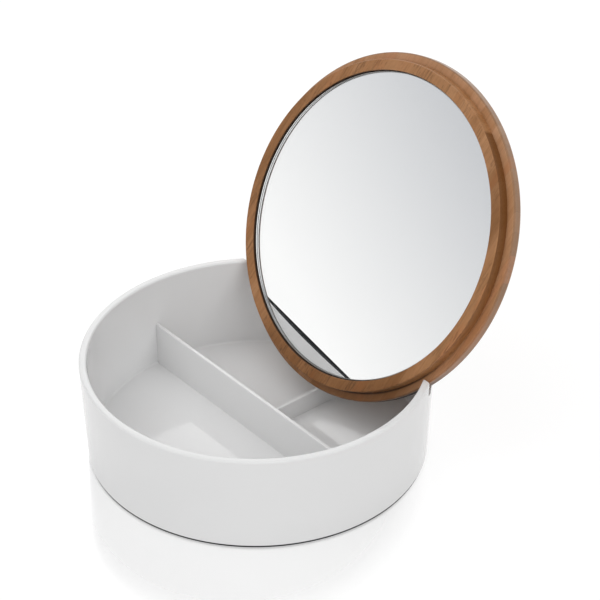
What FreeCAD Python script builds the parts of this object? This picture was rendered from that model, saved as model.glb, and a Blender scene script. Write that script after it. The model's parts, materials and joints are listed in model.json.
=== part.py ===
"""Round makeup and jewellery organizer: a moulded tray whose bamboo lid stands up as a mirror.

Millimetres, +Z up. The origin is the centre of the tray on the surface that it stands on.
The lid stands behind the tray's middle in two notches of the wall, its mirror facing -Y.
"""

import math
import os

import FreeCAD
import Part

Vec = FreeCAD.Vector

# Tray: a moulded cup with drafted walls
TRAY_RADIUS_TOP = 90.0
TRAY_RADIUS_FOOT = 87.8
TRAY_HEIGHT = 54.2
WALL = 3.9
FLOOR_TOP = 3.6
RIM_ROUND = 1.1
RIM_BANDS = 4
FOOT_CHAMFER = 0.5
FLOOR_ROUND = 1.2
FLOOR_BANDS = 2

# Non-slip sheet under the tray
PAD_THICKNESS = 0.8
PAD_INSET = 0.5

# Dividers: two straight panels that meet in a T at the middle
DIVIDER_TOP_THICKNESS = 2.0
DIVIDER_FOOT_THICKNESS = 2.5
LONG_DIVIDER_TOP = 28.0
SHORT_DIVIDER_TOP = 14.0
DIVIDER_EDGE_ROUND = 0.5
GROOVE = 0.8

# Lid: a bamboo board with a ring glued on it, and a mirror lying inside the ring
BOARD_RADIUS = 90.2
BOARD_THICKNESS = 6.0
BOARD_BACK_ROUND = 2.0
BOARD_FRONT_CHAMFER = 0.6
RING_OUTER = 85.6
RING_INNER = 79.9
RING_HEIGHT = 6.0
RING_CHAMFER = 0.4
GLASS_RADIUS = 79.5
GLASS_THICKNESS = 2.2
GLASS_SEAM = 0.3
GLASS_RECESS = 1.6
BACKING_RADIUS = 79.3
BACKING_THICKNESS = 0.2

# Foam tape that holds the mirror in the lid
TAPE_WIDTH = 24.0
TAPE_SPACING = 44.0
TAPE_LENGTHS = (96.0, 132.0, 96.0)

# Standing lid: the middle of its shoulder, and how far it leans back from upright
LID_Y = 78.1
LID_Z = 99.2
LEAN = math.radians(29.1)

# Notches in the wall
NOTCH_FRONT_Y = 50.4
SEAT_GAP = 0.3
NOTCH_CORNER_ROUND = 0.6
ABOVE_RIM = 2.0

DRAFT_SLOPE = (TRAY_RADIUS_TOP - TRAY_RADIUS_FOOT) / (TRAY_HEIGHT - PAD_THICKNESS)


def corner_round(before, here, after, radius, bands):
    """Points along the round of a corner: three of its arc, or the ends of its straight bands."""
    back = (before - here).normalize()
    ahead = (after - here).normalize()
    half_angle = back.getAngle(ahead) / 2
    centre = here + (back + ahead).normalize() * (radius / math.sin(half_angle))
    first = here + back * (radius / math.tan(half_angle)) - centre
    turn = 180 - 2 * math.degrees(half_angle)
    if first.cross(here - centre).z < 0:
        turn = -turn
    steps = bands or 2
    turns = [FreeCAD.Rotation(Vec(0, 0, 1), turn * step / steps) for step in range(steps + 1)]
    return [centre + rotation.multVec(first) for rotation in turns]


def rounded_wire(corners, place):
    """Closed wire through (u, v) corners. A corner may add the radius of its round, which is then
    a tangent arc, and the number of straight bands that the round is cut into instead."""
    rounds = []
    for index, corner in enumerate(corners):
        u, v, radius, bands = (*corner, 0, 0)[:4]
        here = Vec(u, v, 0)
        before = Vec(*corners[index - 1][:2], 0)
        after = Vec(*corners[(index + 1) % len(corners)][:2], 0)
        points = corner_round(before, here, after, radius, bands) if radius else [here]
        rounds.append((points, radius > 0 and bands == 0))
    edges = []
    for index, (points, is_arc) in enumerate(rounds):
        if is_arc:
            edges.append(Part.Arc(*[place(point) for point in points]).toShape())
            points = points[-1:]
        following = rounds[(index + 1) % len(rounds)][0][0]
        for start, end in zip(points, points[1:] + [following]):
            if not start.isEqual(end, 1e-6):
                edges.append(Part.LineSegment(place(start), place(end)).toShape())
    return Part.Wire(edges)


def turned(corners):
    """Solid of revolution about Z from (radius, height) corners, its seam in front."""
    outline = rounded_wire(corners, lambda p: Vec(0, -p.x, p.y))
    return Part.Face(outline).revolve(Vec(0, 0, 0), Vec(0, 0, 1), 360)


def outer_radius(height):
    """Outer wall radius of the tray at a height."""
    return TRAY_RADIUS_FOOT + DRAFT_SLOPE * (height - PAD_THICKNESS)


def inner_radius(height):
    """Inner wall radius of the tray at a height."""
    return outer_radius(height) - WALL


def in_lid(face_up, face_out):
    """Point (y, z) of the standing lid: along its face from the centre, and out of its face."""
    y = LID_Y + face_up * math.sin(LEAN) - face_out * math.cos(LEAN)
    z = LID_Z + face_up * math.cos(LEAN) + face_out * math.sin(LEAN)
    return y, z


def seat_drop():
    """How far below the lid's centre, along its face, the board's edge dips into the tray's wall."""
    dipped = standing(lid_board()).common(tray_cup())
    dipped.translate(Vec(0, -LID_Y, -LID_Z))
    dipped.rotate(Vec(0, 0, 0), Vec(1, 0, 0), math.degrees(LEAN) - 90)
    return -dipped.optimalBoundingBox(False).YMin


def notch_cutter():
    """Prism across the tray: upright front, seat square to the lid, back parallel to the lid."""
    seat = -(seat_drop() + SEAT_GAP)
    back = -(BOARD_THICKNESS + SEAT_GAP)
    top = TRAY_HEIGHT + ABOVE_RIM
    seat_y, seat_z = in_lid(seat, 0)
    front_z = seat_z + (seat_y - NOTCH_FRONT_Y) * math.tan(LEAN)
    back_y, back_z = in_lid(seat, back)
    top_back_y = back_y + (top - back_z) * math.tan(LEAN)
    corners = [
        (NOTCH_FRONT_Y, top),
        (NOTCH_FRONT_Y, front_z, NOTCH_CORNER_ROUND),
        (back_y, back_z, NOTCH_CORNER_ROUND),
        (top_back_y, top),
    ]
    half_width = TRAY_RADIUS_TOP + ABOVE_RIM
    outline = rounded_wire(corners, lambda p: Vec(-half_width, p.x, p.y))
    return Part.Face(outline).extrude(Vec(2 * half_width, 0, 0))


def tray_cup():
    """The moulded cup before its notches and grooves."""
    return turned([
        (0, PAD_THICKNESS),
        (TRAY_RADIUS_FOOT, PAD_THICKNESS, FOOT_CHAMFER, 1),
        (TRAY_RADIUS_TOP, TRAY_HEIGHT, RIM_ROUND, RIM_BANDS),
        (inner_radius(TRAY_HEIGHT), TRAY_HEIGHT, RIM_ROUND, RIM_BANDS),
        (inner_radius(FLOOR_TOP), FLOOR_TOP, FLOOR_ROUND, FLOOR_BANDS),
        (0, FLOOR_TOP),
    ])


def divider_reach():
    """Cone that the dividers fill: the tray's inside and the grooves around it."""
    bottom = FLOOR_TOP - GROOVE
    return turned([
        (0, bottom),
        (inner_radius(bottom) + GROOVE, bottom),
        (inner_radius(TRAY_HEIGHT) + GROOVE, TRAY_HEIGHT),
        (0, TRAY_HEIGHT),
    ])


def divider_section(top, place):
    """Cross section of a divider, drafted and rounded along its top edge."""
    half_foot = DIVIDER_FOOT_THICKNESS / 2
    half_top = DIVIDER_TOP_THICKNESS / 2
    bottom = FLOOR_TOP - GROOVE
    corners = [
        (-half_foot, bottom),
        (half_foot, bottom),
        (half_top, top, DIVIDER_EDGE_ROUND),
        (-half_top, top, DIVIDER_EDGE_ROUND),
    ]
    return Part.Face(rounded_wire(corners, place))


def long_panel():
    """Divider from wall to wall through the middle of the tray."""
    section = divider_section(LONG_DIVIDER_TOP, lambda p: Vec(-TRAY_RADIUS_TOP, p.x, p.y))
    panel = section.extrude(Vec(2 * TRAY_RADIUS_TOP, 0, 0))
    return panel.common(divider_reach())


def short_panel():
    """Lower divider from the long one to the back wall; it passes under the standing lid."""
    start = DIVIDER_TOP_THICKNESS / 2 - GROOVE / 2
    section = divider_section(SHORT_DIVIDER_TOP, lambda p: Vec(p.x, start, p.y))
    panel = section.extrude(Vec(0, TRAY_RADIUS_TOP, 0))
    return panel.common(divider_reach())


def base_pad():
    """Thin non-slip sheet glued under the tray."""
    radius = TRAY_RADIUS_FOOT - PAD_INSET
    return Part.makeCylinder(radius, PAD_THICKNESS)


def lid_board():
    """Round board, drawn lying with its shoulder at height 0 and its back below."""
    return turned([
        (0, -BOARD_THICKNESS),
        (BOARD_RADIUS, -BOARD_THICKNESS, BOARD_BACK_ROUND),
        (BOARD_RADIUS, 0, BOARD_FRONT_CHAMFER, 1),
        (0, 0),
    ])


def lid_ring():
    """Ring that drops inside the tray's rim when the lid is on, and frames the mirror."""
    return turned([
        (RING_INNER, 0),
        (RING_OUTER, 0),
        (RING_OUTER, RING_HEIGHT, RING_CHAMFER, 1),
        (RING_INNER, RING_HEIGHT, RING_CHAMFER, 1),
    ])


def mirror_glass():
    """Round glass plate with seamed edges, recessed in the ring."""
    top = RING_HEIGHT - GLASS_RECESS
    bottom = top - GLASS_THICKNESS
    return turned([
        (0, bottom),
        (GLASS_RADIUS, bottom, GLASS_SEAM, 1),
        (GLASS_RADIUS, top, GLASS_SEAM, 1),
        (0, top),
    ])


def backing_bottom():
    """Height of the underside of the mirror's silvered backing."""
    return RING_HEIGHT - GLASS_RECESS - GLASS_THICKNESS - BACKING_THICKNESS


def mirror_backing():
    """Silvered and painted layer on the back of the glass."""
    backing = Part.makeCylinder(BACKING_RADIUS, BACKING_THICKNESS)
    backing.translate(Vec(0, 0, backing_bottom()))
    return backing


def mirror_tape():
    """Strips of foam tape between the board and the mirror."""
    strips = []
    for row, length in enumerate(TAPE_LENGTHS):
        middle = (row - (len(TAPE_LENGTHS) - 1) / 2) * TAPE_SPACING
        corner = Vec(-length / 2, middle - TAPE_WIDTH / 2, 0)
        strips.append(Part.makeBox(length, TAPE_WIDTH, backing_bottom(), corner))
    return Part.makeCompound(strips)


def standing(shape):
    """Stand a lid piece up in the notches, leaning back."""
    shape.rotate(Vec(0, 0, 0), Vec(1, 0, 0), 90 - math.degrees(LEAN))
    shape.translate(Vec(0, LID_Y, LID_Z))
    return shape


def build():
    """Every piece by its name, in place."""
    short_divider = short_panel()
    long_divider = long_panel().cut(short_divider)
    tray = tray_cup().cut(notch_cutter())
    tray = tray.cut(long_divider).cut(short_divider)
    return {
        "tray_shell": tray,
        "long_divider": long_divider,
        "short_divider": short_divider,
        "base_pad": base_pad(),
        "lid_board": standing(lid_board()),
        "lid_ring": standing(lid_ring()),
        "mirror_glass": standing(mirror_glass()),
        "mirror_backing": standing(mirror_backing()),
        "mirror_tape": standing(mirror_tape()),
    }


def main():
    os.makedirs("parts", exist_ok=True)
    for name, shape in build().items():
        shape.exportStep(f"parts/{name}.step")
        box = shape.optimalBoundingBox(False)
        print(name, len(shape.Solids), "solid(s)", round(shape.Volume / 1000, 2), "cm3",
              "x", round(box.XMin, 1), round(box.XMax, 1),
              "y", round(box.YMin, 1), round(box.YMax, 1),
              "z", round(box.ZMin, 1), round(box.ZMax, 1), "valid", shape.isValid())


main()
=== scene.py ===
"""Looks of a round makeup and jewellery organizer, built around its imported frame.

Metres, +Z up: the tray stands on Z = 0 and its lid stands behind the middle, the mirror facing -Y.
The file is laid out as an add-on: each operator makes one piece, and main() calls them in order.
"""

import json
import math

import bmesh
import bpy
from bpy.props import FloatProperty, FloatVectorProperty, IntProperty, PointerProperty
from bpy.types import NodeSocket, Operator, Panel, PropertyGroup
from mathutils import Euler, Matrix, Vector

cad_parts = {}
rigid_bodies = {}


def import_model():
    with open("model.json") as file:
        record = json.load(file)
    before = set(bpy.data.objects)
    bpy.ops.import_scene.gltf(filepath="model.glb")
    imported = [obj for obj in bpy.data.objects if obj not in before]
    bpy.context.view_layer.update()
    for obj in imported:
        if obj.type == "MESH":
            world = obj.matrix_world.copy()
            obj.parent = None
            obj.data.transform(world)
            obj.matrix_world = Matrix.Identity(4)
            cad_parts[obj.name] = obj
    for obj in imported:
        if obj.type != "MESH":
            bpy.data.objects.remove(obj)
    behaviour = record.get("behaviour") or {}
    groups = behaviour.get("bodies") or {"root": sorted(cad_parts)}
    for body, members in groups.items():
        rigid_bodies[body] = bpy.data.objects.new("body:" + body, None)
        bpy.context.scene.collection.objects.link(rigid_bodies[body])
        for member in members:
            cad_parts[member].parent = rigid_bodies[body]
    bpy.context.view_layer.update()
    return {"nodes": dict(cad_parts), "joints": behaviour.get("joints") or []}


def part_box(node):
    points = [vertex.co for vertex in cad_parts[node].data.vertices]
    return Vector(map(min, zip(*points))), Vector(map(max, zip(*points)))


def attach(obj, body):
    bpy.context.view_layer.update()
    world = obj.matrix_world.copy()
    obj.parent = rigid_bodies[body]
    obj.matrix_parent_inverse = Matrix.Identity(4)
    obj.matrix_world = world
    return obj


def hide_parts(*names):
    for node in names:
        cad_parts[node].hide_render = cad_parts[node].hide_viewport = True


bl_info = {
    "name": "Round organizer with mirror lid",
    "version": (1, 0, 0),
    "blender": (4, 5, 0),
    "location": "3D View > Sidebar > Organizer",
    "description": "Makes the tray, dividers, bamboo lid and mirror of a round organizer",
    "category": "Object",
}

for leftover in list(bpy.data.objects):
    bpy.data.objects.remove(leftover)

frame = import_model()

MM = 0.001
WELD = 1e-6
SHARP_ANGLE = math.radians(32)
CUT_MARGIN = 2 * MM

# Share of a face's normal that points out of the mirror, at which its finish changes
FLAT_FACE = 0.95
BACK_FACE = -0.65
SEAM_FACE = 0.2

# Colours that are no setting
WHITE = (1, 1, 1, 1)
RED_STRIP = (0.400, 0.125, 0.030, 1)
# Brown of the ring wall's burns, its darker strips and painted shade; nearly black of painted shade
# in the ring's bore, the board's corner and under its edge
BURN_AND_SHADE_BROWN = (0.138, 0.049, 0.008, 1)
PAINTED_SHADE_BLACK = (0.022, 0.011, 0.006, 1)
SKY_WHITE = (1.0, 0.995, 0.988, 1)
SKY_GREY = (0.590, 0.598, 0.618, 1)
CARD_BLACK = (0.022, 0.022, 0.024, 1)

# Bamboo finishes and painted light: how far the strips' tones part, their tint, the strength of
#  their dark lines, and that of the lacquer. The edge's tint is darker and bluer, a painted shade
#  and reflection; the flange's is lighter and bluer, a painted sheen
BAMBOO_FINISHES_AND_PAINTED_LIGHT = {
    "bamboo_edge": (0.40, (0.80, 0.86, 1.04), 0.4, 0.90),
    "bamboo_flange": (0.40, (1.30, 1.44, 1.94), 0.4, 0.45),
    "bamboo_back": (0.60, (1.06, 1.06, 1.14), 1.0, 0.40),
    "bamboo_ring": (0.45, (1.06, 1.06, 1.14), 1.0, 0.40),
}

# Darker places of the bamboo, in millimetres: bearing of the painted shade at the board's lower
# end, where it stands in the tray, from the strips' width; the lid's lower end, where shade is
# painted, turned from straight down the strips; distance of the cane's joints
BOARD_SHADE_BEARING = math.radians(-56)
LOW_TURN = math.radians(18)
LOW_END = 82.0
KNUCKLE_SPACING = 210.0

# Studio that gloss and glass see: its middle, left of the tray's front, the heights between which
# its sky turns grey, and its dark card's upper edge, tilt and cosine of half its width
STUDIO_BEARING = math.radians(39.69)
SKY_LOW, SKY_HIGH, SKY_TILT = 0.152, 0.252, 0.35
CARD_EDGE, CARD_TILT, CARD_WIDTH = 0.1474, 0.0605, 0.72

# Lights: bearings from the tray's front towards its right, and heights, in degrees
HIGH_LIGHT = (315, 65)
RIGHT_LIGHT = (88, 30)
FRONT_LIGHT = (0, 30)
LIGHT_SPREAD = math.radians(45)
PANEL_SIZE = (0.7, 0.6)
PANEL_DISTANCE = 1.2
SENSOR_WIDTH = 36.0
FLOOR_DROP = 0.0001

# Seen floor: a pale one with a glow of its own, and a polished oval round the tray: its middle, the
# turn of its long side, its shape, its strength, and where it begins to fade and ends
FLOOR_PALE = (0.22, 0.22, 0.22, 1)
FLOOR_GLOW = 0.84
POLISH_MIDDLE = (0.0173, -0.0265, 0)
POLISH_TURN = math.radians(-38.5)
POLISH_SHAPE = (1, 0.8, 1)
POLISH_SHARE = 0.43
POLISH_START, POLISH_END = 0.092, 0.124
POLISH_ROUGHNESS = 0.16

# Directions of the standing lid: to its right, up its face, and out of its mirror
ACROSS = Vector((1, 0, 0))
UP_LID = Vector(frame["joints"][0]["axis"]).normalized()
OUT_LID = ACROSS.cross(UP_LID)


def reach(node, direction):
    """Lowest and highest distance of a CAD node along a direction."""
    distances = [vert.co.dot(direction) for vert in frame["nodes"][node].data.vertices]
    return min(distances), max(distances)


LID_LOW, LID_HIGH = reach("lid_board", UP_LID)
BOARD_BACK, SHOULDER = reach("lid_board", OUT_LID)
LID_CENTRE = UP_LID * (LID_LOW + LID_HIGH) / 2 + OUT_LID * SHOULDER
LID_PLACE = Matrix.Translation(LID_CENTRE) @ Matrix((ACROSS, UP_LID, OUT_LID)).transposed().to_4x4()


def lid_radius(node):
    """Outer radius of a round node of the lid."""
    low, high = reach(node, UP_LID)
    return (high - low) / 2


def lid_heights(node):
    """Heights of a node's back and front above the lid's shoulder."""
    low, high = reach(node, OUT_LID)
    return low - SHOULDER, high - SHOULDER


def ring_bore():
    """Inner radius of the lid's ring."""
    from_axis = [vert.co - LID_CENTRE for vert in frame["nodes"]["lid_ring"].data.vertices]
    return min((point - OUT_LID * point.dot(OUT_LID)).length for point in from_axis)


TRAY_LOW, TRAY_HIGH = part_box("tray_shell")


# Sizes and colours that a user would change

class TraySettings(PropertyGroup):
    """Sizes and finish of the tray."""

    rim_radius: FloatProperty(
        name="Rim radius", description="Outside radius of the wall at the rim",
        default=0.0900, unit="LENGTH", precision=4)
    foot_radius: FloatProperty(
        name="Foot radius", description="Outside radius of the wall at the foot",
        default=0.0878, unit="LENGTH", precision=4)
    wall: FloatProperty(
        name="Wall", description="Thickness of the wall",
        default=0.0039, unit="LENGTH", precision=4)
    floor: FloatProperty(
        name="Floor", description="Height of the floor's top",
        default=0.0036, unit="LENGTH", precision=4)
    rim_round: FloatProperty(
        name="Rim round", description="Radius of the rounds along the rim",
        default=0.0011, unit="LENGTH", precision=4)
    floor_round: FloatProperty(
        name="Floor round", description="Radius between the wall and the floor",
        default=0.0012, unit="LENGTH", precision=4)
    foot_round: FloatProperty(
        name="Foot round", description="Radius along the foot",
        default=0.0009, unit="LENGTH", precision=4)
    notch_front: FloatProperty(
        name="Notch front", description="Distance of the notches' upright side behind the middle",
        default=0.0504, unit="LENGTH", precision=4)
    notch_seat: FloatProperty(
        name="Notch seat",
        description="Distance of the seats below the lid's centre, along its face",
        default=0.0602, unit="LENGTH", precision=4)
    notch_play: FloatProperty(
        name="Notch play", description="Gap between the lid's back and the notches",
        default=0.0003, unit="LENGTH", precision=4)
    notch_round: FloatProperty(
        name="Notch round", description="Radius of the notches' inner corners",
        default=0.0006, unit="LENGTH", precision=4)
    colour: FloatVectorProperty(
        name="Plastic", description="Colour of the tray and the dividers",
        default=(0.83, 0.83, 0.83), subtype="COLOR", min=0, max=1)


class LidSettings(PropertyGroup):
    """Sizes and finish of the lid."""

    back_round: FloatProperty(
        name="Back round", description="Radius along the back edge of the board",
        default=0.0020, unit="LENGTH", precision=4)
    board_edge: FloatProperty(
        name="Board edge", description="Radius along the front edge of the board",
        default=0.0009, unit="LENGTH", precision=4)
    ring_edge: FloatProperty(
        name="Ring edge", description="Radius along the front edges of the ring",
        default=0.0005, unit="LENGTH", precision=4)
    glass_seam: FloatProperty(
        name="Glass seam", description="Width of the ground seam along the glass",
        default=0.0003, unit="LENGTH", precision=4)
    silver_gap: FloatProperty(
        name="Silver gap", description="Clearance that keeps the silvering off the glass face",
        default=0.00004, unit="LENGTH", precision=5)
    strip_width: FloatProperty(
        name="Strip width", description="Usual width of a bamboo strip",
        default=0.0055, unit="LENGTH", precision=4)
    grain_turn: FloatProperty(
        name="Grain turn", description="Turn of the grain from straight up the lid",
        default=math.radians(11.5), subtype="ANGLE")
    scorch_end: FloatProperty(
        name="Scorch end",
        description="Bearing from the strips' width at which the ring's scorched wall ends",
        default=math.radians(57 + 11.5), subtype="ANGLE")
    dark_bamboo: FloatVectorProperty(
        name="Dark bamboo", description="Colour of the darkest strips",
        default=(0.212, 0.086, 0.020), subtype="COLOR", min=0, max=1)
    bamboo: FloatVectorProperty(
        name="Bamboo", description="Colour of most strips",
        default=(0.340, 0.155, 0.053), subtype="COLOR", min=0, max=1)
    light_bamboo: FloatVectorProperty(
        name="Light bamboo", description="Colour of the lightest strips",
        default=(0.450, 0.228, 0.096), subtype="COLOR", min=0, max=1)


class StageSettings(PropertyGroup):
    """Camera, lights and floor."""

    camera_place: FloatVectorProperty(
        name="Camera", description="Place of the camera",
        default=(0.8101, -0.6437, 0.7832), subtype="TRANSLATION", unit="LENGTH", precision=4)
    camera_aim: FloatVectorProperty(
        name="Aim", description="Direction that the camera looks in",
        default=(-0.6385, 0.5298, -0.5583), subtype="DIRECTION", precision=4)
    focal_length: FloatProperty(
        name="Focal length", description="Focal length of the camera in millimetres",
        default=150.0)
    right_strength: FloatProperty(
        name="Right light", description="Strength of the soft light from the right",
        default=0.76, min=0)
    front_strength: FloatProperty(
        name="Front light", description="Strength of the soft light from the front",
        default=0.39, min=0)
    high_strength: FloatProperty(
        name="High light", description="Strength of the soft light from high at the front left",
        default=0.63, min=0)
    room_strength: FloatProperty(
        name="Room light", description="Strength of the even light from all round",
        default=0.51, min=0)
    panel_level: FloatProperty(
        name="Back panel", description="Brightness of the panel that the level faces mirror",
        default=1.04, min=0)
    floor_size: FloatProperty(
        name="Floor size", description="Width of the floor",
        default=12.0, unit="LENGTH")
    spin_steps: IntProperty(
        name="Steps", description="Steps of a turned piece",
        default=256, min=32, max=512)


# Shader building

def put(tree, kind, inputs=None, output=0, **settings):
    """Add a shader node; an input is a value or another node's output. Gives one of its outputs."""
    node = tree.nodes.new("ShaderNode" + kind)
    for name, value in settings.items():
        setattr(node, name, value)
    for socket, value in (inputs or {}).items():
        if isinstance(value, NodeSocket):
            tree.links.new(value, node.inputs[socket])
        else:
            node.inputs[socket].default_value = value
    return node if output is None else node.outputs[output]


def maths(tree, operation, *values, clamp=False):
    """Calculate with numbers."""
    return put(tree, "Math", dict(enumerate(values)), operation=operation, use_clamp=clamp)


def spread(tree, value, low, high, to_low=0.0, to_high=1.0):
    """Spread the range from low to high over another range, smoothly at its ends."""
    inputs = {0: value, 1: low, 2: high, 3: to_low, 4: to_high}
    return put(tree, "MapRange", inputs, interpolation_type="SMOOTHSTEP")


def product(tree, *values):
    """Multiply numbers."""
    result = values[0]
    for value in values[1:]:
        result = maths(tree, "MULTIPLY", result, value)
    return result


def distance(tree, value, middle):
    """Distance of a number from a middle."""
    return maths(tree, "ABSOLUTE", maths(tree, "SUBTRACT", value, middle))


def mixed(tree, factor, first, second):
    """Mix two colours."""
    return put(tree, "Mix", {0: factor, 6: first, 7: second}, output=2, data_type="RGBA")


def noise(tree, place, scale, detail=2.0, roughness=0.5):
    """Fractal noise, about 0.5 in the mean."""
    inputs = {"Vector": place, "Scale": scale, "Detail": detail, "Roughness": roughness}
    return put(tree, "TexNoise", inputs)


def vector(tree, x, y, z):
    """Vector of three numbers."""
    return put(tree, "CombineXYZ", {0: x, 1: y, 2: z})


def length(tree, place):
    """Length of a vector."""
    return put(tree, "VectorMath", {0: place}, output="Value", operation="LENGTH")


def object_place(tree):
    """Place on the object, in metres."""
    return put(tree, "TexCoord", output="Object")


def solid(colour):
    """Colour with full alpha."""
    return (*colour, 1.0)


def fresh_material(name):
    """An empty node material, replacing one of the same name."""
    old = bpy.data.materials.get(name)
    if old:
        bpy.data.materials.remove(old)
    material = bpy.data.materials.new(name)
    material.use_nodes = True
    material.node_tree.nodes.clear()
    return material


def put_output(tree, shader):
    """Make a shader the material's surface."""
    node = tree.nodes.new("ShaderNodeOutputMaterial")
    tree.links.new(shader, node.inputs["Surface"])


def white_plastic(colour):
    """Moulded gloss plastic: a faint unevenness of the surface, fine grain in its gloss."""
    material = fresh_material("white_plastic")
    tree = material.node_tree
    place = object_place(tree)
    cloud = noise(tree, place, 26.0, 2.0)
    shade = mixed(tree, cloud, solid([c * 0.985 for c in colour]), solid(colour))
    wave = noise(tree, place, 22.0, 1.0)
    skin = noise(tree, place, 2600.0, 2.0)
    waved = put(tree, "Bump", {"Strength": 0.12, "Distance": 0.0003, "Height": wave})
    grained = put(tree, "Bump", {
        "Strength": 0.04, "Distance": 0.00002, "Height": skin, "Normal": waved})
    gloss = spread(tree, noise(tree, place, 90.0, 4.0), 0.3, 0.7, 0.05, 0.09)
    shader = put(tree, "BsdfPrincipled", {
        "Base Color": shade, "Roughness": gloss, "Normal": grained, "IOR": 1.5})
    put_output(tree, shader)
    return material


def black_rubber():
    """Matt non-slip sheet."""
    material = fresh_material("black_rubber")
    tree = material.node_tree
    place = object_place(tree)
    grain = noise(tree, place, 1800.0, 3.0)
    shade = mixed(tree, grain, (0.014, 0.014, 0.015, 1), (0.030, 0.030, 0.031, 1))
    bump = put(tree, "Bump", {"Strength": 0.5, "Distance": 0.0001, "Height": grain})
    rough = spread(tree, grain, 0.2, 0.8, 0.72, 0.9)
    put_output(tree, put(tree, "BsdfPrincipled", {
        "Base Color": shade, "Roughness": rough, "Normal": bump}))
    return material


def grain_place(tree, turn):
    """Place on the lid in millimetres: across the grain, along it, and out of the mirror's face."""
    stand = Euler((math.asin(UP_LID.y) - math.pi / 2, 0, turn))
    centre = stand.to_matrix() @ LID_CENTRE / MM
    return put(tree, "Mapping", {
        "Vector": object_place(tree), "Location": -centre,
        "Rotation": stand, "Scale": (1 / MM,) * 3}, vector_type="POINT")


def lower_end(tree, across, along, start):
    """One at the lower end of the standing lid, zero up to a start before it, in millimetres."""
    sideways = product(tree, across, math.sin(LOW_TURN))
    down = maths(tree, "MULTIPLY_ADD", along, -math.cos(LOW_TURN), sideways)
    return spread(tree, down, start, LOW_END)


def burn_and_shade_ring(tree, place, fibres, lid):
    """Dark places of the ring: burns of the cutter on a stretch of its outer wall, painted shade in
    its bore, darkest against the glass, darker strips at both sides, and painted shade at the lower
    end, which stands in the tray."""
    across, along, out = place
    radius = length(tree, vector(tree, across, along, 0.0))
    bearing = maths(tree, "ARCTAN2", along, across)
    outer, inner = lid_radius("lid_ring") / MM, ring_bore() / MM
    front = lid_heights("lid_ring")[1] / MM
    end = lid.scorch_end
    wall = product(
        tree,
        spread(tree, bearing, end - 0.01, end + 0.01, 1.0, 0.0),
        spread(tree, bearing, end - 2.0, end - 0.4, 0.25, 1.0),
        spread(tree, radius, outer - 0.2, outer),
        spread(tree, fibres, 0.2, 0.8, 0.76, 0.97))
    # Painted shade in the bore, darkest against the glass
    bore = product(
        tree,
        spread(tree, radius, inner + 0.03, inner + 0.15, 1.0, 0.0),
        spread(tree, out, front - 1.1, front - 0.2, 0.92, 0.35))
    right = spread(tree, distance(tree, across, 60.0), 7.0, 16.0, 0.42, 0.0)
    left = spread(tree, across, -78.0, -58.0, 0.22, 0.0)
    # Painted shade at the lower end, in the tray
    low = product(
        tree, lower_end(tree, across, along, 62.0), spread(tree, fibres, 0.35, 0.65, 0.04, 0.46))
    brown = wall
    for share in (bore, right, left, low):
        brown = maths(tree, "MAXIMUM", brown, share)
    return brown, bore


def painted_shade_board(tree, place, fibres, lid):
    """Painted shade at the board's lower end, where it stands in the tray, darkest in the corner
    against the ring and under its edge. The corner's share has no bound at the board's back and
    marks a sector there too."""
    across, along, out = place
    radius = length(tree, vector(tree, across, along, 0.0))
    away = distance(tree, maths(tree, "ARCTAN2", along, across), BOARD_SHADE_BEARING)
    rebate = lid_radius("lid_ring") / MM
    # Painted shadow of the tray on the board's lower end
    shade = product(
        tree,
        spread(tree, away, 0.10, 0.75, 1.0, 0.0),
        spread(tree, radius, rebate - 5.0, rebate - 0.5),
        spread(tree, fibres, 0.2, 0.8, 0.50, 0.70))
    # Painted shade in the corner against the ring
    corner = product(
        tree,
        spread(tree, radius, rebate + 0.3, rebate + 1.3, 1.0, 0.0),
        spread(tree, away, 0.40, 0.85, 0.87, 0.12))
    # Painted shade under the board's edge
    under = product(
        tree,
        spread(tree, out, -1.8, -0.4, 0.95, 0.0),
        spread(tree, away, 0.35, 0.80, 1.0, 0.0),
        spread(tree, out, -5.6, -4.6))
    return shade, maths(tree, "MAXIMUM", corner, under)


def bamboo_strips(tree, place, width, shift):
    """Strips pressed side by side, their edges a little uneven: a random colour for each, and the
    distance to the nearest edge between two."""
    across, along, out = place
    edge_place = vector(tree, product(tree, across, 0.4), product(tree, along, 0.05), out)
    ragged = noise(tree, edge_place, 1.0, 3.0, 0.6)
    strip_at = maths(tree, "MULTIPLY_ADD", across, MM / width, shift)
    strip_at = maths(tree, "ADD", strip_at, maths(tree, "MULTIPLY_ADD", ragged, 0.16, -0.08))
    return [
        put(tree, "TexVoronoi", {"W": strip_at, "Scale": 1.0, "Randomness": 0.6},
            output=output, voronoi_dimensions="1D", feature=feature)
        for output, feature in (("Color", "F1"), ("Distance", "DISTANCE_TO_EDGE"))]


def bamboo_grain(tree, place, draw):
    """Fibres, bundles, clouds and dashes along the grain, each strip cut from another stretch of
    cane."""
    across, along, out = place
    moved = maths(tree, "MULTIPLY_ADD", draw, 173.0, along)
    return [
        noise(tree, vector(tree, across, product(tree, moved, squeeze), out), *pattern)
        for squeeze, *pattern in (
            (0.030, 1.10, 5.0, 0.66), (0.055, 1.45, 2.0, 0.55),
            (0.250, 0.11, 3.0, 0.60), (0.160, 1.75, 2.0, 0.55))]


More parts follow.
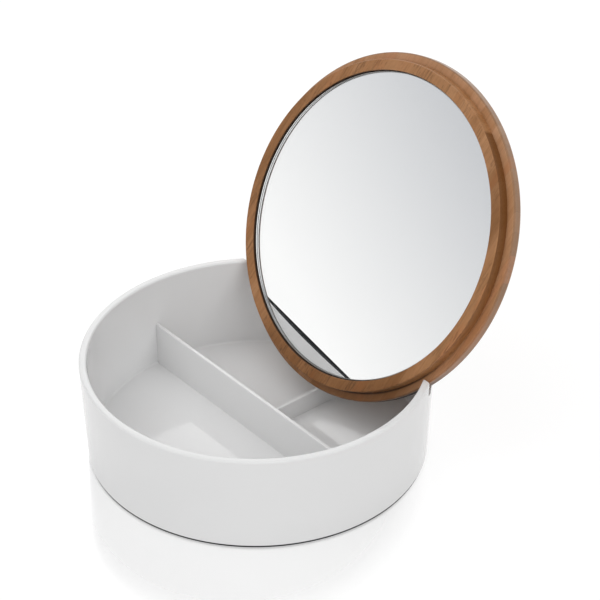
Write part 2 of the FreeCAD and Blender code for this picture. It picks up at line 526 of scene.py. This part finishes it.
def bamboo(name, lid, shift, burn_and_shade):
    """Laminated bamboo: strips pressed side by side, each with its own tone, bundle lines and
    knuckles, moved by a share of their width, and darkened where a given function says so, by burns
    and painted shade, brown for its first share and nearly black for its second."""
    contrast, tint, lined, lacquer = BAMBOO_FINISHES_AND_PAINTED_LIGHT[name]
    material = fresh_material(name)
    tree = material.node_tree
    place = put(tree, "SeparateXYZ", {0: grain_place(tree, lid.grain_turn)}, output=None).outputs
    across, along, _ = place
    dark, usual, light = [
        [value * share for value, share in zip(colour, tint)]
        for colour in (lid.dark_bamboo, lid.bamboo, lid.light_bamboo)]
    line = solid([value * 0.42 for value in dark])
    strips, seam = bamboo_strips(tree, place, lid.strip_width, shift)
    tone_draw, red_draw, line_draw = put(
        tree, "SeparateColor", {0: strips}, output=None).outputs
    fibres, bundles, cloud, dashes = bamboo_grain(tree, place, line_draw)
    # Tone: each strip's own, clouded, darker at the lower end as painted shade where it stands in
    # the
    #  tray, lighter at the top as a painted sheen, with fibres
    tone = maths(tree, "MULTIPLY_ADD", tone_draw, 0.55 * contrast, 0.5 - 0.275 * contrast)
    tone = maths(tree, "ADD", tone, maths(tree, "MULTIPLY_ADD", cloud, 0.60, -0.30))
    low = lower_end(tree, across, along, 60.0)
    tone = maths(tree, "MULTIPLY_ADD", low, -0.24, tone)
    tone = maths(tree, "ADD", tone, spread(tree, along, 20.0, 80.0, 0.0, 0.12))
    tone = maths(tree, "ADD", tone, maths(tree, "MULTIPLY_ADD", fibres, 0.60, -0.30), clamp=True)
    ramp = put(tree, "ValToRGB", {0: tone}, output=None)
    stops = ramp.color_ramp.elements
    stops[0].position, stops[0].color = 0.08, solid(dark)
    stops[1].position, stops[1].color = 0.92, solid(light)
    stops.new(0.5).color = solid(usual)
    colour = ramp.outputs[0]
    # Redder strips here and there
    red = product(
        tree, spread(tree, red_draw, 0.50, 0.85), 0.80 * contrast, spread(tree, cloud, 0.42, 0.60))
    colour = mixed(tree, red, colour, RED_STRIP)
    # Dark lines of the bundles, strongest in strips cut near the skin, and stronger at the lower
    # end
    #  as painted shade
    lines = maths(
        tree, "MAXIMUM", spread(tree, bundles, 0.54, 0.66), spread(tree, dashes, 0.56, 0.68))
    weight = spread(tree, line_draw, 0.2, 0.9, 0.20 * lined, 0.55 * lined)
    weight = product(tree, weight, maths(tree, "MULTIPLY_ADD", low, 0.7, 1.0))
    colour = mixed(tree, product(tree, lines, weight), colour, line)
    # Knuckles: a darker band across a strip where the cane had a joint
    beat = maths(tree, "MULTIPLY_ADD", along, 1 / KNUCKLE_SPACING, product(tree, line_draw, 7.31))
    off_knuckle = distance(tree, maths(tree, "FRACT", beat), 0.5)
    knuckle = spread(tree, off_knuckle, 0.002, 0.010, 0.16, 0.0)
    colour = mixed(tree, knuckle, colour, solid(dark))
    # Glue line between strips
    glued = spread(tree, seam, 0.0, 0.020, 0.30, 0.0)
    colour = mixed(tree, glued, colour, line)
    # Burns and painted shade, which also dull the lacquer
    brown, black = burn_and_shade(tree, place, fibres, lid)
    colour = mixed(tree, brown, colour, BURN_AND_SHADE_BROWN)
    colour = mixed(tree, black, colour, PAINTED_SHADE_BLACK)
    burnt_and_shaded = maths(tree, "MAXIMUM", brown, black)
    lacquered = maths(tree, "MULTIPLY_ADD", burnt_and_shaded, -lacquer, lacquer, clamp=True)
    height = maths(tree, "SUBTRACT", fibres, product(tree, glued, 0.6))
    bump = put(tree, "Bump", {"Strength": 0.4, "Distance": 0.00008, "Height": height})
    rough = spread(tree, fibres, 0.25, 0.75, 0.46, 0.60)
    put_output(tree, put(tree, "BsdfPrincipled", {
        "Base Color": colour, "Roughness": rough, "Normal": bump, "IOR": 1.45,
        "Specular IOR Level": 0.35, "Coat Weight": lacquered, "Coat Roughness": 0.3,
        "Coat IOR": 1.45}))
    return material


def clear_glass():
    """Float glass with a faint tint that varies a little over the plate."""
    material = fresh_material("clear_glass")
    tree = material.node_tree
    cloud = noise(tree, object_place(tree), 12.0, 1.0)
    tint = mixed(tree, cloud, (0.994, 0.998, 0.997, 1), (0.998, 1.0, 1.0, 1))
    put_output(tree, put(tree, "BsdfPrincipled", {
        "Base Color": tint, "Roughness": 0.0, "IOR": 1.52, "Transmission Weight": 1.0}))
    return material


def ground_glass():
    """Ground seams along the edge of the glass: pale and matt, with a fine sparkle."""
    material = fresh_material("ground_glass")
    tree = material.node_tree
    place = object_place(tree)
    grit = noise(tree, place, 1500.0, 3.0, 0.7)
    shade = mixed(tree, grit, (0.50, 0.49, 0.48, 1), (0.86, 0.85, 0.83, 1))
    bump = put(tree, "Bump", {"Strength": 0.6, "Distance": 0.0002, "Height": grit})
    rough = spread(tree, grit, 0.2, 0.8, 0.35, 0.65)
    put_output(tree, put(tree, "BsdfPrincipled", {
        "Base Color": shade, "Roughness": rough, "Normal": bump, "IOR": 1.52}))
    return material


def silver():
    """Bright silvering."""
    material = fresh_material("silver")
    tree = material.node_tree
    cloud = noise(tree, object_place(tree), 9.0, 2.0)
    shade = mixed(tree, cloud, (0.970, 0.975, 0.980, 1), (0.985, 0.988, 0.990, 1))
    put_output(tree, put(tree, "BsdfPrincipled", {
        "Base Color": shade, "Metallic": 1.0, "Roughness": 0.0}))
    return material


def mirror_paint():
    """Grey paint that protects the silvering from behind."""
    material = fresh_material("mirror_paint")
    tree = material.node_tree
    cloud = noise(tree, object_place(tree), 700.0, 4.0)
    shade = mixed(tree, cloud, (0.16, 0.16, 0.17, 1), (0.22, 0.22, 0.23, 1))
    bump = put(tree, "Bump", {"Strength": 0.3, "Distance": 0.00005, "Height": cloud})
    put_output(tree, put(tree, "BsdfPrincipled", {
        "Base Color": shade, "Roughness": 0.6, "Normal": bump}))
    return material


def foam():
    """Closed-cell foam of the mounting tape."""
    material = fresh_material("foam")
    tree = material.node_tree
    place = object_place(tree)
    cells = put(tree, "TexVoronoi", {"Vector": place, "Scale": 2600.0}, output="Distance")
    shade = mixed(tree, cells, (0.62, 0.62, 0.60, 1), (0.82, 0.82, 0.79, 1))
    bump = put(tree, "Bump", {"Strength": 0.7, "Distance": 0.0002, "Height": cells})
    put_output(tree, put(tree, "BsdfPrincipled", {
        "Base Color": shade, "Roughness": 0.85, "Normal": bump}))
    return material


# Mesh building

def turned(corners, steps, place=None):
    """Mesh turned about Z from its half section: (radius, height) corners, which may add the radius
    of a round and the number of its segments."""
    made = bmesh.new()
    verts = [made.verts.new((corner[0], 0, corner[1])) for corner in corners]
    made.faces.new(verts)
    for vert, corner in zip(verts, corners):
        if len(corner) > 2:
            bmesh.ops.bevel(
                made, geom=[vert], affect="VERTICES", offset=corner[2], offset_type="OFFSET",
                segments=corner[3], profile=0.5, material=-1)
    bmesh.ops.delete(made, geom=made.faces[:], context="FACES_ONLY")
    on_axis = [edge for edge in made.edges if all(vert.co.x < WELD for vert in edge.verts)]
    bmesh.ops.delete(made, geom=on_axis, context="EDGES")
    bmesh.ops.spin(made, geom=made.verts[:] + made.edges[:], cent=(0, 0, 0), axis=(0, 0, 1),
                   angle=2 * math.pi, steps=steps, use_merge=True)
    bmesh.ops.remove_doubles(made, verts=made.verts[:], dist=WELD)
    bmesh.ops.recalc_face_normals(made, faces=made.faces[:])
    if place:
        bmesh.ops.transform(made, matrix=place, verts=made.verts[:])
    return made


def show(made, name, materials):
    """Turn a bmesh into a shown piece at the origin, its place in its mesh."""
    old = bpy.data.objects.get(name)
    if old:
        bpy.data.objects.remove(old)
    mesh = bpy.data.meshes.new(name)
    made.to_mesh(mesh)
    made.free()
    for material in materials:
        mesh.materials.append(material)
    piece = bpy.data.objects.new(name, mesh)
    bpy.context.scene.collection.objects.link(piece)
    return piece


def finish_edges(piece):
    """Smooth the rounds, keep the corners sharp and the long faces true."""
    piece.data.shade_smooth()
    piece.data.set_sharp_from_angle(angle=SHARP_ANGLE)
    piece.modifiers.new("Weighted normals", "WEIGHTED_NORMAL").keep_sharp = True


def repaint(node, material):
    """Give a CAD node its finish."""
    for slot in frame["nodes"][node].material_slots:
        slot.material = material


def cut(piece, made):
    """Cut a closed bmesh out of a piece, for good."""
    cutter = show(made, piece.name + "_cutter", [])
    boolean = piece.modifiers.new("Cut", "BOOLEAN")
    boolean.operation = "DIFFERENCE"
    boolean.solver = "EXACT"
    boolean.object = cutter
    evaluated = piece.evaluated_get(bpy.context.evaluated_depsgraph_get())
    whole = piece.data
    piece.data = bpy.data.meshes.new_from_object(evaluated)
    piece.modifiers.remove(boolean)
    bpy.data.meshes.remove(whole)
    bpy.data.objects.remove(cutter)


def in_lid(up, out):
    """Point in the middle plane of the standing lid: up its face from the centre, and out of it."""
    return LID_CENTRE + UP_LID * up + OUT_LID * out


def notch_prism(tray):
    """Prism across the tray: upright front, seat square to the lid, back parallel to the lid."""
    half = tray.rim_radius + CUT_MARGIN
    top = TRAY_HIGH.z + CUT_MARGIN
    lean = math.asin(UP_LID.y)
    back_out = BOARD_BACK - SHOULDER - tray.notch_play
    seat = in_lid(-tray.notch_seat, 0)
    back = in_lid(-tray.notch_seat, back_out)
    front_z = seat.z + (seat.y - tray.notch_front) * math.tan(lean)
    back_top_y = back.y + (top - back.z) * math.tan(lean)
    outline = [
        (tray.notch_front, top), (tray.notch_front, front_z), (back.y, back.z), (back_top_y, top)]
    made = bmesh.new()
    verts = [made.verts.new((-half, y, z)) for y, z in outline]
    made.faces.new(verts)
    bmesh.ops.bevel(
        made, geom=verts[1:3], affect="VERTICES", offset=tray.notch_round, offset_type="OFFSET",
        segments=6, profile=0.5, material=-1)
    swept = bmesh.ops.extrude_face_region(made, geom=made.faces[:])
    moved = [part for part in swept["geom"] if isinstance(part, bmesh.types.BMVert)]
    bmesh.ops.translate(made, vec=(2 * half, 0, 0), verts=moved)
    bmesh.ops.recalc_face_normals(made, faces=made.faces[:])
    return made


class OBJECT_OT_organizer_tray(Operator):
    """Make the moulded tray with its two notches"""

    bl_idname = "object.organizer_tray"
    bl_label = "Tray"

    def execute(self, context):
        tray = context.scene.organizer_tray
        steps = context.scene.organizer_stage.spin_steps
        foot, top = TRAY_LOW.z, TRAY_HIGH.z
        slope = (tray.rim_radius - tray.foot_radius) / (top - foot)
        floor_edge = tray.foot_radius + slope * (tray.floor - foot) - tray.wall
        made = turned([
            (0, foot),
            (tray.foot_radius, foot, tray.foot_round, 6),
            (tray.rim_radius, top, tray.rim_round, 10),
            (tray.rim_radius - tray.wall, top, tray.rim_round, 10),
            (floor_edge, tray.floor, tray.floor_round, 10),
            (0, tray.floor),
        ], steps)
        piece = show(made, "tray_moulding", [white_plastic(tray.colour)])
        cut(piece, notch_prism(tray))
        finish_edges(piece)
        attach(piece, "tray")
        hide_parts("tray_shell")
        return {"FINISHED"}


class OBJECT_OT_organizer_dividers(Operator):
    """Finish the two dividers in the tray's plastic"""

    bl_idname = "object.organizer_dividers"
    bl_label = "Dividers"

    def execute(self, context):
        plastic = bpy.data.materials["white_plastic"]
        repaint("long_divider", plastic)
        repaint("short_divider", plastic)
        return {"FINISHED"}


class OBJECT_OT_organizer_pad(Operator):
    """Finish the non-slip sheet under the tray"""

    bl_idname = "object.organizer_pad"
    bl_label = "Base pad"

    def execute(self, context):
        repaint("base_pad", black_rubber())
        return {"FINISHED"}


class OBJECT_OT_organizer_board(Operator):
    """Make the bamboo board of the lid"""

    bl_idname = "object.organizer_board"
    bl_label = "Lid board"

    def execute(self, context):
        lid = context.scene.organizer_lid
        steps = context.scene.organizer_stage.spin_steps
        radius = lid_radius("lid_board")
        back, front = lid_heights("lid_board")
        made = turned([
            (0, back),
            (radius, back, lid.back_round, 12),
            (radius, front, lid.board_edge, 6),
            (0, front),
        ], steps, LID_PLACE)
        for face in made.faces:
            facing = face.normal.dot(OUT_LID)
            face.material_index = 1 if facing > FLAT_FACE else 2 if facing < BACK_FACE else 0
        piece = show(made, "bamboo_board", [
            bamboo(name, lid, 0.3, painted_shade_board)
            for name in ("bamboo_edge", "bamboo_flange", "bamboo_back")])
        finish_edges(piece)
        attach(piece, "lid")
        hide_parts("lid_board")
        return {"FINISHED"}


class OBJECT_OT_organizer_ring(Operator):
    """Make the bamboo ring that frames the mirror"""

    bl_idname = "object.organizer_ring"
    bl_label = "Lid ring"

    def execute(self, context):
        lid = context.scene.organizer_lid
        steps = context.scene.organizer_stage.spin_steps
        outer, inner = lid_radius("lid_ring"), ring_bore()
        back, front = lid_heights("lid_ring")
        made = turned([
            (inner, back),
            (outer, back),
            (outer, front, lid.ring_edge, 4),
            (inner, front, lid.ring_edge, 4),
        ], steps, LID_PLACE)
        piece = show(made, "bamboo_ring", [bamboo("bamboo_ring", lid, 0.0, burn_and_shade_ring)])
        finish_edges(piece)
        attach(piece, "lid")
        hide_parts("lid_ring")
        return {"FINISHED"}


class OBJECT_OT_organizer_mirror(Operator):
    """Make the mirror: a glass plate with a ground edge, and the silvering behind it"""

    bl_idname = "object.organizer_mirror"
    bl_label = "Mirror"

    def execute(self, context):
        lid = context.scene.organizer_lid
        steps = context.scene.organizer_stage.spin_steps
        radius = lid_radius("mirror_glass")
        back, front = lid_heights("mirror_glass")
        made = turned([
            (0, back),
            (radius, back, lid.glass_seam, 1),
            (radius, front, lid.glass_seam, 1),
            (0, front),
        ], 2 * steps, LID_PLACE)
        for face in made.faces:
            face.material_index = int(SEAM_FACE < abs(face.normal.dot(OUT_LID)) < FLAT_FACE)
        glass = show(made, "mirror_plate", [clear_glass(), ground_glass()])
        finish_edges(glass)
        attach(glass, "lid")
        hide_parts("mirror_glass")

        silvered = lid_radius("mirror_backing")
        low, high = lid_heights("mirror_backing")
        made = turned([
            (0, low),
            (silvered, low),
            (silvered, high - lid.silver_gap),
            (0, high - lid.silver_gap),
        ], steps, LID_PLACE)
        for face in made.faces:
            face.material_index = int(face.normal.dot(OUT_LID) < FLAT_FACE)
        backing = show(made, "mirror_silvering", [silver(), mirror_paint()])
        finish_edges(backing)
        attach(backing, "lid")
        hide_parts("mirror_backing")
        return {"FINISHED"}


class OBJECT_OT_organizer_tape(Operator):
    """Finish the foam tape that holds the mirror"""

    bl_idname = "object.organizer_tape"
    bl_label = "Foam tape"

    def execute(self, context):
        repaint("mirror_tape", foam())
        return {"FINISHED"}


# Stage

def light_path(tree):
    """One where the stage is seen, directly or in gloss or glass, and zero where it lights; and one
    where the camera sees it directly."""
    path = put(tree, "LightPath", output=None)
    direct = path.outputs["Is Camera Ray"]
    seen = maths(tree, "MAXIMUM", direct, path.outputs["Is Glossy Ray"])
    return maths(tree, "MAXIMUM", seen, path.outputs["Is Transmission Ray"]), direct


def make_world(strength):
    """White where the camera looks, a studio in gloss and glass, and an even light for the rest."""
    world = bpy.data.worlds.new("studio")
    world.use_nodes = True
    tree = world.node_tree
    tree.nodes.clear()
    direction = put(tree, "TexCoord", output="Generated")
    height = put(tree, "SeparateXYZ", {0: direction}, output="Z")
    flat = put(tree, "VectorMath", {0: direction, 1: (1, 1, 0)}, operation="MULTIPLY")
    ahead = put(tree, "VectorMath", {0: flat}, operation="NORMALIZE")
    sine, cosine = math.sin(STUDIO_BEARING), math.cos(STUDIO_BEARING)
    facing, sideways = [
        put(tree, "VectorMath", {0: ahead, 1: axis}, output="Value", operation="DOT_PRODUCT")
        for axis in ((-sine, -cosine, 0), (cosine, -sine, 0))]
    # White low down, a sky that turns grey upwards in front, and a dark card over the floor
    tilted = maths(tree, "MULTIPLY_ADD", sideways, SKY_TILT, height)
    climb = put(tree, "MapRange", {0: tilted, 1: SKY_LOW, 2: SKY_HIGH})
    sky = mixed(tree, climb, SKY_WHITE, SKY_GREY)
    seen = mixed(tree, spread(tree, facing, 0.0, 0.7), WHITE, sky)
    card_height = maths(tree, "MULTIPLY_ADD", sideways, CARD_TILT, height)
    card = product(
        tree,
        maths(tree, "LESS_THAN", card_height, CARD_EDGE),
        maths(tree, "GREATER_THAN", height, 0.0),
        maths(tree, "GREATER_THAN", facing, CARD_WIDTH))
    seen = mixed(tree, card, seen, CARD_BLACK)
    is_seen, is_direct = light_path(tree)
    seen = mixed(tree, is_direct, seen, WHITE)
    studio = put(tree, "Background", {"Color": seen, "Strength": 1.0})
    even = put(tree, "Background", {"Color": WHITE, "Strength": strength})
    both = put(tree, "MixShader", {0: is_seen, 1: even, 2: studio})
    node = tree.nodes.new("ShaderNodeOutputWorld")
    tree.links.new(both, node.inputs["Surface"])
    return world


def add_sun(name, strength, direction):
    """Soft light from far away, from a bearing and a height."""
    bearing, height = [math.radians(angle) for angle in direction]
    lamp = bpy.data.lights.new(name, "SUN")
    lamp.energy = strength
    lamp.angle = LIGHT_SPREAD
    holder = bpy.data.objects.new(name, lamp)
    source = Euler((-height, 0, bearing)).to_matrix() @ Vector((0, -1, 0))
    holder.rotation_euler = (-source).to_track_quat("-Z", "Y").to_euler()
    holder.visible_glossy = False
    holder.visible_transmission = False
    bpy.context.scene.collection.objects.link(holder)


def add_back_panel(stage):
    """Bright panel behind the tray, opposite the camera, that its level faces mirror."""
    lamp = bpy.data.lights.new("back_panel", "AREA")
    lamp.shape = "RECTANGLE"
    lamp.size, lamp.size_y = PANEL_SIZE
    lamp.energy = stage.panel_level * math.pi * lamp.size * lamp.size_y
    holder = bpy.data.objects.new("back_panel", lamp)
    aim = Vector(stage.camera_aim)
    holder.location = Vector((aim.x, aim.y, -aim.z)) * PANEL_DISTANCE
    holder.rotation_euler = (-holder.location).to_track_quat("-Z", "Y").to_euler()
    holder.visible_camera = False
    bpy.context.scene.collection.objects.link(holder)


def make_floor(size):
    """Polished white floor that keeps a soft shadow and the tray's reflection."""
    made = bmesh.new()
    bmesh.ops.create_grid(made, x_segments=1, y_segments=1, size=size / 2)
    bmesh.ops.translate(made, vec=(0, 0, -FLOOR_DROP), verts=made.verts[:])
    material = fresh_material("floor")
    tree = material.node_tree
    oval = put(tree, "Mapping", {
        "Vector": object_place(tree), "Location": POLISH_MIDDLE,
        "Rotation": (0, 0, POLISH_TURN), "Scale": POLISH_SHAPE}, vector_type="TEXTURE")
    polish = spread(tree, length(tree, oval), POLISH_START, POLISH_END, POLISH_SHARE, 0.0)
    plain = put(tree, "BsdfDiffuse", {"Color": (0.8, 0.8, 0.8, 1)})
    pale = put(tree, "BsdfDiffuse", {"Color": FLOOR_PALE})
    glow = put(tree, "Emission", {"Color": WHITE, "Strength": FLOOR_GLOW})
    shown = put(tree, "AddShader", {0: pale, 1: glow})
    gloss = put(tree, "BsdfGlossy", {"Color": WHITE, "Roughness": POLISH_ROUGHNESS})
    shown = put(tree, "MixShader", {0: polish, 1: shown, 2: gloss})
    is_seen, _ = light_path(tree)
    put_output(tree, put(tree, "MixShader", {0: is_seen, 1: plain, 2: shown}))
    material.cycles.emission_sampling = "NONE"
    floor = show(made, "floor", [material])


class OBJECT_OT_organizer_stage(Operator):
    """Set up the camera, the lights and the floor"""

    bl_idname = "object.organizer_stage"
    bl_label = "Stage"

    def execute(self, context):
        stage = context.scene.organizer_stage
        scene = context.scene
        scene.view_settings.view_transform = "Standard"

        camera = bpy.data.cameras.new("camera")
        camera.lens = stage.focal_length
        camera.sensor_width = SENSOR_WIDTH
        camera.clip_start, camera.clip_end = 0.05, 50.0
        holder = bpy.data.objects.new("camera", camera)
        holder.location = stage.camera_place
        aim = Vector(stage.camera_aim)
        holder.rotation_euler = aim.to_track_quat("-Z", "Y").to_euler()
        scene.collection.objects.link(holder)
        scene.camera = holder

        add_sun("high_light", stage.high_strength, HIGH_LIGHT)
        add_sun("right_light", stage.right_strength, RIGHT_LIGHT)
        add_sun("front_light", stage.front_strength, FRONT_LIGHT)
        add_back_panel(stage)
        scene.world = make_world(stage.room_strength)
        make_floor(stage.floor_size)
        return {"FINISHED"}


class VIEW3D_PT_organizer(Panel):
    """Buttons and sizes of the organizer"""

    bl_label = "Organizer"
    bl_space_type = "VIEW_3D"
    bl_region_type = "UI"
    bl_category = "Organizer"

    def draw(self, context):
        layout = self.layout
        for operator in OPERATORS:
            layout.operator(operator.bl_idname)
        for settings in (context.scene.organizer_tray, context.scene.organizer_lid,
                         context.scene.organizer_stage):
            box = layout.box()
            for name in settings.__annotations__:
                box.prop(settings, name)


SETTINGS = {
    "organizer_tray": TraySettings,
    "organizer_lid": LidSettings,
    "organizer_stage": StageSettings,
}

OPERATORS = (
    OBJECT_OT_organizer_stage,
    OBJECT_OT_organizer_tray,
    OBJECT_OT_organizer_dividers,
    OBJECT_OT_organizer_pad,
    OBJECT_OT_organizer_board,
    OBJECT_OT_organizer_ring,
    OBJECT_OT_organizer_mirror,
    OBJECT_OT_organizer_tape,
)


def register():
    """Make the settings, the operators and the panel known to Blender."""
    for name, settings in SETTINGS.items():
        bpy.utils.register_class(settings)
        setattr(bpy.types.Scene, name, PointerProperty(type=settings))
    for operator in OPERATORS:
        bpy.utils.register_class(operator)
    bpy.utils.register_class(VIEW3D_PT_organizer)


def unregister():
    """Take them out again."""
    bpy.utils.unregister_class(VIEW3D_PT_organizer)
    for operator in reversed(OPERATORS):
        bpy.utils.unregister_class(operator)
    for name, settings in reversed(SETTINGS.items()):
        delattr(bpy.types.Scene, name)
        bpy.utils.unregister_class(settings)


def main():
    """Build the whole scene."""
    register()
    bpy.ops.object.organizer_stage()
    bpy.ops.object.organizer_tray()
    bpy.ops.object.organizer_dividers()
    bpy.ops.object.organizer_pad()
    bpy.ops.object.organizer_board()
    bpy.ops.object.organizer_ring()
    bpy.ops.object.organizer_mirror()
    bpy.ops.object.organizer_tape()


if __name__ == "__main__":
    main()
